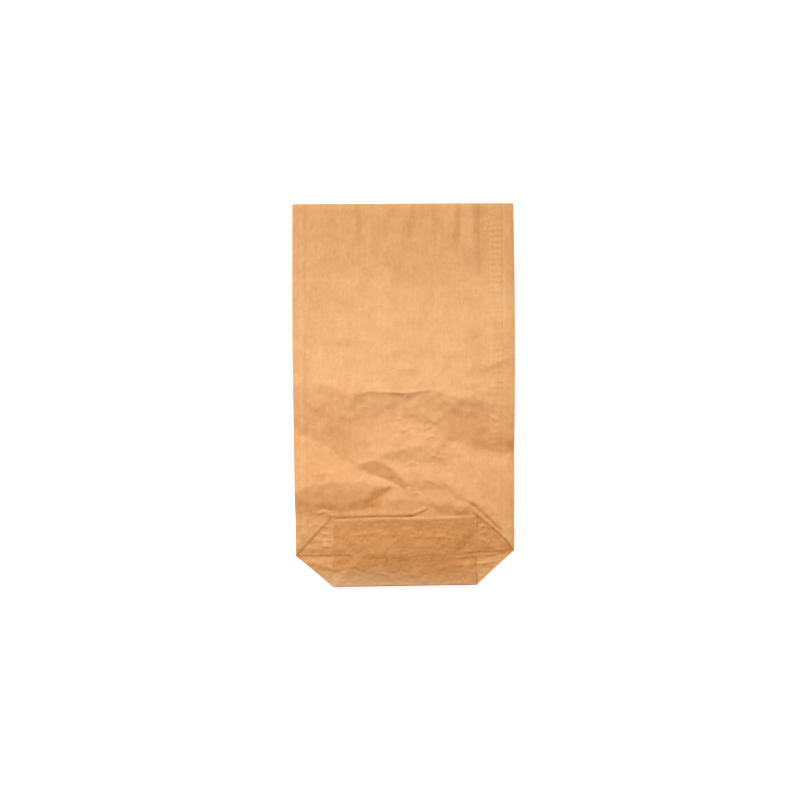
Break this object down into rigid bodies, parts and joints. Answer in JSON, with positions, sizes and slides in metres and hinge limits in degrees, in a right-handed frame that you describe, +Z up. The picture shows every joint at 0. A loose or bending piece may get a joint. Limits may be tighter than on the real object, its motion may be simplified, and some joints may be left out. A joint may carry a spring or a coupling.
{
  "type": "paper sack",
  "caption": "Empty open-mouth kraft paper sack lying flat, with a lapped tube and a folded cross bottom under a pasted patch.",
  "frame": {"origin": "on the surface the sack lies on, at the middle of its outline", "axes": "+Y along the sack to its open mouth, +X to the side with the lapped seam, +Z up from the folded bottom's face"},
  "size_m": [0.5502, 0.9501, 0.0139],
  "materials": {
    "sack_paper": "matt brown kraft with fine lengthwise streaks and handling creases",
    "patch_paper": "matt orange-brown kraft with crosswise grain and glue stains"
  },
  "bodies": {
    "root": {"sack_body": "sack_paper", "bottom_patch": "patch_paper"}
  },
  "joints": []
}
